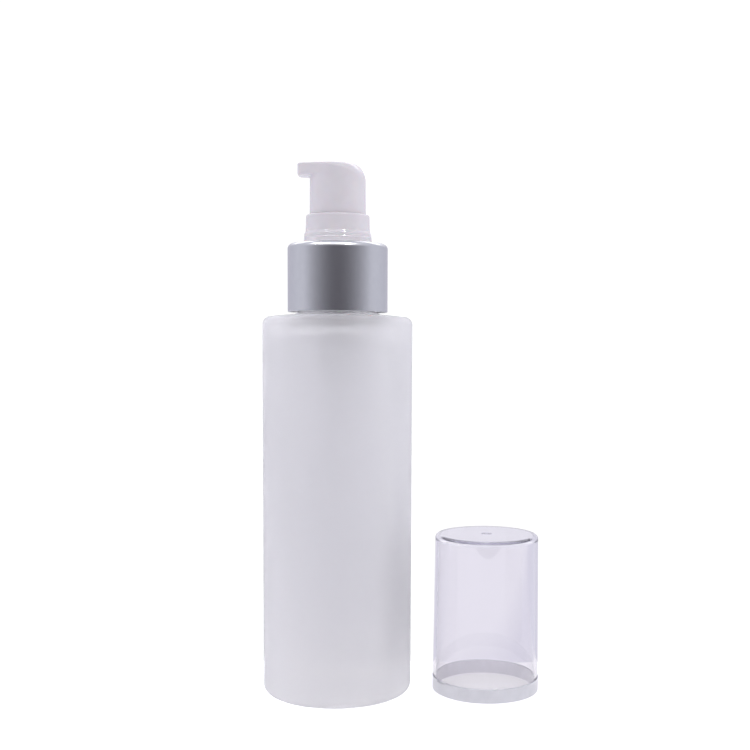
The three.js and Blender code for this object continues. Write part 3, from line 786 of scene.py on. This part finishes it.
def valve_housing():
    bottom, top = low("pump_housing")[2], high("pump_housing")[2]
    ball_middle = (low("check_ball")[2] + high("check_ball")[2]) / 2
    flange_bottom = top - FLANGE_THICKNESS
    step = cup_floor()
    floor = step - CYLINDER_LENGTH
    floor_under = floor - CYLINDER_FLOOR
    wall = CYLINDER_BORE + CYLINDER_WALL
    tube_stop = high("dip_tube")[2] + TUBE_TOP_GAP
    seat_bottom = tube_stop + SEAT_THICKNESS
    obj = turned("valve_housing", [
        (CHAMBER_RADIUS, bottom, 0.15),
        (TAIL_RADIUS, bottom, 0.25),
        (TAIL_RADIUS, seat_bottom - 0.3, 0.5),
        (wall, floor_under, 0.9),
        (wall, step - CUP_FOOT, 0.6),
        (CUP_OUTER, step, 0.5),
        (CUP_OUTER, flange_bottom, 0.2),
        (radius_of("pump_housing"), flange_bottom, 0.2),
        (radius_of("pump_housing"), top, 0.2),
        (CUP_INNER, top, 0.2),
        (CUP_INNER, step, 0.3),
        (CYLINDER_BORE, step, 0.3),
        (CYLINDER_BORE, floor, 0.2),
        (BALL_HOLE, floor, 0.1),
        (BALL_HOLE, floor_under, 0.1),
        (CHAMBER_RADIUS, floor_under, 0.1),
        (CHAMBER_RADIUS, ball_middle + SEAT_LIFT),
        (SEAT_HOLE, seat_bottom, 0.1),
        (SEAT_HOLE, tube_stop, 0.1),
        (CHAMBER_RADIUS, tube_stop, 0.1),
    ], segments=SMALL_SEGMENTS)
    assigned(obj, "pump_engine", "natural_plastic", "pump_housing")


def suction_tube():
    bottom, top = low("dip_tube")[2], high("dip_tube")[2]
    outer = radius_of("dip_tube")

    def slanted(angle, r, z):
        """The foot is cut off at a slant, so that it can't seal against the bottle's floor."""
        return r, z + (TUBE_SLANT * (outer + r * math.cos(angle)) if z < bottom + 0.2 else 0)

    obj = turned("suction_tube", [
        (TUBE_BORE, bottom, 0.08),
        (outer, bottom, 0.08),
        (outer, top, 0.08),
        (TUBE_BORE, top, 0.08),
    ], slanted, segments=SMALL_SEGMENTS)
    assigned(obj, "pump_engine", "natural_plastic", "dip_tube")


def valve_ball():
    radius = radius_of("check_ball")
    middle = (low("check_ball")[2] + high("check_ball")[2]) / 2
    steps = 32
    angles = [math.pi * (step / steps - 0.5) for step in range(1, steps)]
    arc = [(radius * math.cos(angle), middle + radius * math.sin(angle)) for angle in angles]
    obj = turned("valve_ball", [(0, middle - radius), *arc, (0, middle + radius)],
                 segments=SMALL_SEGMENTS // 2)
    assigned(obj, "suction_ball", "ball_glass", "check_ball")


def stem():
    bottom, top = low("pump_stem")[2], high("pump_stem")[2]
    stop_top = cup_floor() - STEM_STOP_GAP
    stop_bottom = stop_top - STEM_STOP_THICKNESS
    stop_radius = radius_of("pump_stem")
    obj = turned("stem", [
        (STEM_BORE, bottom, 0.1),
        (STEM_RADIUS, bottom, 0.15),
        (STEM_RADIUS, stop_bottom, 0.1),
        (stop_radius, stop_bottom, 0.1),
        (stop_radius, stop_top, 0.25),
        (STEM_RADIUS, stop_top, 0.3),
        (STEM_RADIUS, top, 0.3),
        (STEM_BORE, top, 0.15),
    ], segments=SMALL_SEGMENTS)
    port = (stop_bottom + bottom + PLUG_PEG_HEIGHT) / 2
    drilled(obj, STEM_PORT_RADIUS, (-STEM_RADIUS - 1, 0, port), (STEM_RADIUS + 1, 0, port))
    assigned(obj, "plunger", "white_plastic", "pump_stem")


def plug():
    bottom, top = low("stem_plug")[2], high("stem_plug")[2]
    head = radius_of("stem_plug")
    boss = head - PLUG_BOSS_RECESS
    cone_top = low("pump_stem")[2] - PLUG_CONE_GAP
    cone_bottom = cone_top - PLUG_CONE_HEIGHT
    disc_bottom = cone_bottom - PLUG_DISC
    obj = turned("plug", [
        (0, bottom),
        (boss, bottom, 0.2),
        (boss, disc_bottom, 0.15),
        (head, disc_bottom, 0.15),
        (head, cone_bottom, 0.15),
        (PLUG_CONE_FOOT, cone_top, 0.1),
        (PLUG_PEG_RADIUS, cone_top, 0.02),
        (PLUG_PEG_RADIUS, top, 0.3),
        (0, top),
    ], segments=SMALL_SEGMENTS)
    assigned(obj, "plunger", "natural_plastic", "stem_plug")


def piston():
    bottom, top = low("piston")[2], high("piston")[2]
    outer = radius_of("piston")
    edge = outer - PISTON_EDGE
    sleeve = STEM_GUIDE + PISTON_SLEEVE_WALL
    lip = outer - PISTON_LIP_WALL
    middle = (bottom + top) / 2
    web_bottom, web_top = middle - PISTON_WEB / 2, middle + PISTON_WEB / 2
    obj = turned("wiper_piston", [
        (STEM_GUIDE, bottom, 0.1),
        (sleeve, bottom, 0.1),
        (sleeve, web_bottom, 0.25),
        (lip, web_bottom, 0.2),
        (edge, bottom, 0.03),
        (outer, bottom, 0.03),
        (edge, middle, 0.8),
        (outer, top, 0.03),
        (edge, top, 0.03),
        (lip, web_top, 0.2),
        (sleeve, web_top, 0.25),
        (sleeve, top, 0.1),
        (STEM_GUIDE, top, 0.1),
    ], segments=SMALL_SEGMENTS)
    assigned(obj, "piston_ring", "natural_plastic", "piston")


def return_spring():
    bottom, top = low("return_spring")[2], high("return_spring")[2]
    obj = coil("coil_spring", SPRING_RADIUS, SPRING_WIRE, bottom, top, SPRING_TURNS)
    assigned(obj, "pump_engine", "spring_steel", "return_spring")
    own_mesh(obj)


def retainer():
    bottom, top = low("housing_retainer")[2], high("housing_retainer")[2]
    outer = radius_of("housing_retainer")
    deck = top - RETAINER_TURRET_HEIGHT
    under = deck - RETAINER_FLANGE
    inside = under - RETAINER_FLANGE
    skirt_bottom = under - RETAINER_SKIRT_DEPTH
    skirt_outer = CUP_INNER - RETAINER_SKIRT_GAP
    skirt_inner = skirt_outer - RETAINER_SKIRT_WALL
    tube = STEM_GUIDE + RETAINER_TUBE_WALL
    turret = STEM_GUIDE + RETAINER_TURRET_WALL
    obj = turned("stem_retainer", [
        (STEM_GUIDE, bottom, 0.1),
        (tube, bottom, 0.15),
        (tube, inside, 0.2),
        (skirt_inner, inside, 0.2),
        (skirt_inner, skirt_bottom, 0.15),
        (skirt_outer, skirt_bottom, 0.3),
        (skirt_outer, under, 0.1),
        (outer, under, 0.1),
        (outer, deck, 0.2),
        (turret, deck, 0.2),
        (turret, top, 0.25),
        (STEM_GUIDE, top, 0.25),
    ], segments=SMALL_SEGMENTS)
    assigned(obj, "pump_engine", "white_plastic", "housing_retainer")


# ---- actuator ------------------------------------------------------------------------------------

def actuator():
    lowest, highest = low("actuator_head"), high("actuator_head")
    foot, top = lowest[2], highest[2]
    reach = -lowest[0]
    foot_radius = radius_of("actuator_head")
    top_radius = foot_radius - ACTUATOR_DRAFT
    touch = math.atan2(SPOUT_WIDTH / 2, reach)
    touch += math.acos(top_radius / math.hypot(reach, SPOUT_WIDTH / 2))
    nozzle = top - SPOUT_TIP_HEIGHT / 2
    under_slope = (SPOUT_ROOT_HEIGHT - SPOUT_TIP_HEIGHT) / reach
    socket_low = foot + SOCKET_LIFT
    socket_high = socket_low + SOCKET_DEPTH

    def field(x, y, z):
        r = np.hypot(x, y)
        behind = np.maximum(x, 0)
        wall = foot_radius - ACTUATOR_DRAFT * (z - foot) / (top - foot)
        side = r - wall
        flank = np.abs(y) * math.sin(touch) - x * math.cos(touch) - wall
        flank = np.where(np.abs(y) * math.cos(touch) + x * math.sin(touch) < 0, flank, side)
        under = top - SPOUT_ROOT_HEIGHT - under_slope * x - z
        spout = common(flank, -x - reach, SPOUT_TIP_ROUNDING)
        spout = common(spout, np.maximum(under, x), SPOUT_UNDER_ROUNDING)
        hull = joined(side, spout, np.clip(side - flank, 0.001, SPOUT_FILLET))
        crown = CROWN * (behind ** 2 + y ** 2) / foot_radius ** 2
        slope = BACK_SLOPE * (np.maximum(x - 0.5, 0) / foot_radius) ** 2
        length = np.maximum(x + 5, 0) / (foot_radius + 5)
        edge = TOP_EDGE_FRONT + TOP_EDGE_GROWTH * length ** 2
        shape = common(hull, z - top + crown + slope, edge)
        shape = common(shape, foot - z, 0.2)
        cavity = common(r - top_radius + HEAD_WALL, z - top + HEAD_ROOF, 0.6)
        socket = common(r - SOCKET_OUTER, socket_low - z, 0.2)
        cavity = common(cavity, -socket, 0.3)
        for u in (x + y, x - y):
            rib_side = np.abs(u) / math.sqrt(2) - HEAD_RIB_HALF_WIDTH
            rib = common(rib_side, foot + HEAD_RIB_LIFT - z, 0.2)
            cavity = common(cavity, -rib, 0.2)
        bore = np.maximum(r - SOCKET_RADIUS, z - socket_high)
        rise = np.maximum(r - CHANNEL_RADIUS, z - nozzle)
        lane = np.maximum(np.hypot(y, z - nozzle) - CHANNEL_RADIUS, x)
        void = np.minimum(np.minimum(cavity, bore), np.minimum(rise, lane))
        return common(shape, -void, 0.15)

    obj = skinned("actuator_with_spout", field, lowest, highest, HEAD_CELL)
    assigned(obj, "actuator", "white_plastic", "actuator_head")


# ---- overcap -------------------------------------------------------------------------------------

def cap_axis():
    lowest, highest = low("overcap_band"), high("overcap_band")
    return ((lowest[0] + highest[0]) / 2, (lowest[1] + highest[1]) / 2)


def clear_overcap():
    top = high("overcap_shell")[2]
    rim = radius_of("overcap_shell")
    band = radius_of("overcap_band")
    recess = band - BAND_THICKNESS - BAND_GAP
    recess_top = high("overcap_band")[2] + BAND_GAP
    ceiling = top - CAP_TOP
    gate, pip = top - GATE_DEPTH, top - GATE_PIP_DEPTH

    def side(height):
        """Radius of the tapering outside at a height."""
        return rim - CAP_TAPER * height / top

    obj = turned("clear_overcap", [
        (rim - CAP_WALL, 0, 0.15),
        (recess, 0, 0.1),
        (recess, recess_top, 0.05),
        (side(recess_top), recess_top, 0.1),
        (side(top), top, CAP_EDGE_RADIUS),
        (GATE_RADIUS + 0.2, top, 0.15),
        (GATE_RADIUS, gate, 0.1),
        (GATE_PIP_RADIUS + 0.15, gate, 0.08),
        (GATE_PIP_RADIUS, pip, 0.08),
        (0, pip),
        (0, ceiling),
        (side(ceiling) - CAP_WALL, ceiling, CAP_INNER_EDGE_RADIUS),
    ], axis=cap_axis())
    assigned(obj, "overcap", "clear_plastic", "overcap_shell")


def silver_band():
    bottom, top = low("overcap_band")[2], high("overcap_band")[2]
    outer = radius_of("overcap_band")
    obj = turned("silver_band", [
        (outer - BAND_THICKNESS, bottom, 0.08),
        (outer, bottom, 0.1),
        (outer, top, 0.1),
        (outer - BAND_THICKNESS, top, 0.08),
    ], axis=cap_axis())
    assigned(obj, "overcap", "mirror_silver", "overcap_band")


frosted_bottle()
closure_with_chimney()
aluminium_collar()
foam_gasket()
valve_housing()
suction_tube()
valve_ball()
stem()
plug()
piston()
return_spring()
retainer()
actuator()
clear_overcap()
silver_band()


# ---- floor, light and camera ---------------------------------------------------------------------

CAMERA_PLACE = Vector((17.58, -282.78, 87.76)) * MM
LIGHT_AIM = Vector((0, 0, 0.07))
FILL_AIM = Vector((0, 0, 0.05))
FLOOR_DROP = 0.05 * MM
CLEAR_BOUNCES = 64


def glowing_floor():
    """A pale floor that glows a little, so that it stays white under the bottle.
    It ends just behind the object, so that the clear overcap shows the surround through it."""
    size, front, back = 2.5, -0.22, 0.024
    mesh = bpy.data.meshes.new("floor")
    mesh.from_pydata(
        [(-size, front, 0), (size, front, 0), (size, back, 0), (-size, back, 0)], [], [(0, 1, 2, 3)])
    mesh.transform(Matrix.Translation((0, 0, -FLOOR_DROP)))
    floor = bpy.data.objects.new("floor", mesh)
    collection.objects.link(floor)
    material = bpy.data.materials.new("pale_floor")
    material.use_nodes = True
    nodes, links = material.node_tree.nodes, material.node_tree.links
    shader = nodes["Principled BSDF"]
    shader.inputs["Base Color"].default_value = (0.42, 0.415, 0.425, 1)
    shader.inputs["Roughness"].default_value = 0.9
    shader.inputs["Specular IOR Level"].default_value = 0
    shader.inputs["Emission Color"].default_value = (1, 0.985, 1.03, 1)
    glow = nodes.new("ShaderNodeMapRange")
    glow.inputs["To Min"].default_value = 0.5
    glow.inputs["To Max"].default_value = 0.97
    links.new(nodes.new("ShaderNodeLightPath").outputs["Is Camera Ray"], glow.inputs["Value"])
    links.new(glow.outputs[0], shader.inputs["Emission Strength"])
    mesh.materials.append(material)


def studio_surround():
    """Plain white where a view looks past the object, and uneven light with a dark screen in front.
    A direction's light depends on its rise, and on how far it leads away from the camera."""
    world = bpy.data.worlds.new("studio")
    world.use_nodes = True
    bpy.context.scene.world = world
    nodes, links = world.node_tree.nodes, world.node_tree.links
    nodes.clear()
    direction = nodes.new("ShaderNodeTexCoord").outputs["Generated"]
    parts = nodes.new("ShaderNodeSeparateXYZ")
    links.new(direction, parts.inputs[0])
    rise = parts.outputs["Z"]
    product = nodes.new("ShaderNodeVectorMath")
    product.operation = "DOT_PRODUCT"
    links.new(direction, product.inputs[0])
    product.inputs[1].default_value = (-CAMERA_PLACE.xy.normalized()).to_3d()
    away = product.outputs["Value"]

    def blended(source, start, end, one, two):
        """Goes from colour one to colour two as the source goes from start to end."""
        ranged = nodes.new("ShaderNodeMapRange")
        links.new(source, ranged.inputs["Value"])
        ranged.inputs["From Min"].default_value = start
        ranged.inputs["From Max"].default_value = end
        mix = nodes.new("ShaderNodeMix")
        mix.data_type = "RGBA"
        links.new(ranged.outputs[0], mix.inputs[0])
        for socket, colour in ((6, one), (7, two)):
            if isinstance(colour, tuple):
                mix.inputs[socket].default_value = (*colour, 1)
            else:
                links.new(colour, mix.inputs[socket])
        return mix.outputs[2]

    sides = blended(away, 0.3, 0.85, (0.80, 0.805, 0.90), (0.68, 0.67, 0.77))
    window = blended(away, 0.945, 0.96, sides, (0.80, 0.79, 0.865))
    behind = blended(rise, 0.24, 0.45, window, (1.05, 1.045, 1.12))
    screen = blended(rise, 0.15, 0.6, (0.055, 0.05, 0.07), (0.88, 0.86, 0.89))
    near_half = blended(rise, -0.35, -0.12, (0.8, 0.8, 0.85), screen)
    far_half = blended(away, 0.4, 0.75, window, behind)
    round_about = blended(away, -1.0, -0.12, near_half, far_half)
    light = nodes.new("ShaderNodeBackground")
    links.new(round_about, light.inputs["Color"])
    plain = nodes.new("ShaderNodeBackground")
    plain.inputs["Color"].default_value = (1, 1, 1, 1)
    plain.inputs["Strength"].default_value = 1.05
    seen = nodes.new("ShaderNodeLightPath").outputs["Is Camera Ray"]
    choice = nodes.new("ShaderNodeMixShader")
    output = nodes.new("ShaderNodeOutputWorld")
    links.new(seen, choice.inputs[0])
    links.new(light.outputs[0], choice.inputs[1])
    links.new(plain.outputs[0], choice.inputs[2])
    links.new(choice.outputs[0], output.inputs["Surface"])


def softbox(name, place, width, depth, power, unseen_by=(), aim=LIGHT_AIM):
    """A rectangular lamp aimed at the object, and left out by the kinds of ray in unseen_by."""
    lamp = bpy.data.lights.new(name, "AREA")
    lamp.shape = "RECTANGLE"
    lamp.size, lamp.size_y = width, depth
    lamp.energy = power
    obj = bpy.data.objects.new(name, lamp)
    obj.location = place
    toward = aim - Vector(place)
    obj.rotation_euler = toward.to_track_quat("-Z", "Y").to_euler()
    for kind in ("camera", *unseen_by):
        setattr(obj, "visible_" + kind, False)
    collection.objects.link(obj)


def camera():
    """The view that the object is shown from: slightly downward, from about shoulder height."""
    data = bpy.data.cameras.new("camera")
    data.sensor_width = 36
    data.lens = 54.58
    data.shift_x, data.shift_y = -0.0441, 0.0764
    obj = bpy.data.objects.new("camera", data)
    pitch, roll = 0.080, 0.006
    turn = Matrix.Rotation(math.pi / 2 - pitch, 4, "X") @ Matrix.Rotation(roll, 4, "Z")
    obj.matrix_world = Matrix.Translation(CAMERA_PLACE) @ turn
    collection.objects.link(obj)
    bpy.context.scene.camera = obj


glowing_floor()
studio_surround()
softbox("top_softbox", (0, 0.5, 0.65), 1.3, 0.3, 1.7, unseen_by=["transmission"])
softbox("front_softbox", (-0.1, -0.5, 0.8), 0.7, 0.4, 0.9)
softbox("right_fill", (0.6, -0.15, 0.05), 0.5, 0.3, 0.45, unseen_by=["glossy"], aim=FILL_AIM)
for side, place in (("left", (-0.36, -0.31, 0.65)), ("right", (0.25, -0.41, 0.65))):
    softbox(side + "_glint", place, 0.025, 0.025, 3.0, unseen_by=["diffuse", "transmission"])
camera()

scene = bpy.context.scene
scene.view_settings.view_transform = "Standard"
scene.cycles.max_bounces = CLEAR_BOUNCES
scene.cycles.transmission_bounces = CLEAR_BOUNCES
scene.cycles.glossy_bounces = CLEAR_BOUNCES
scene.cycles.diffuse_bounces = 6
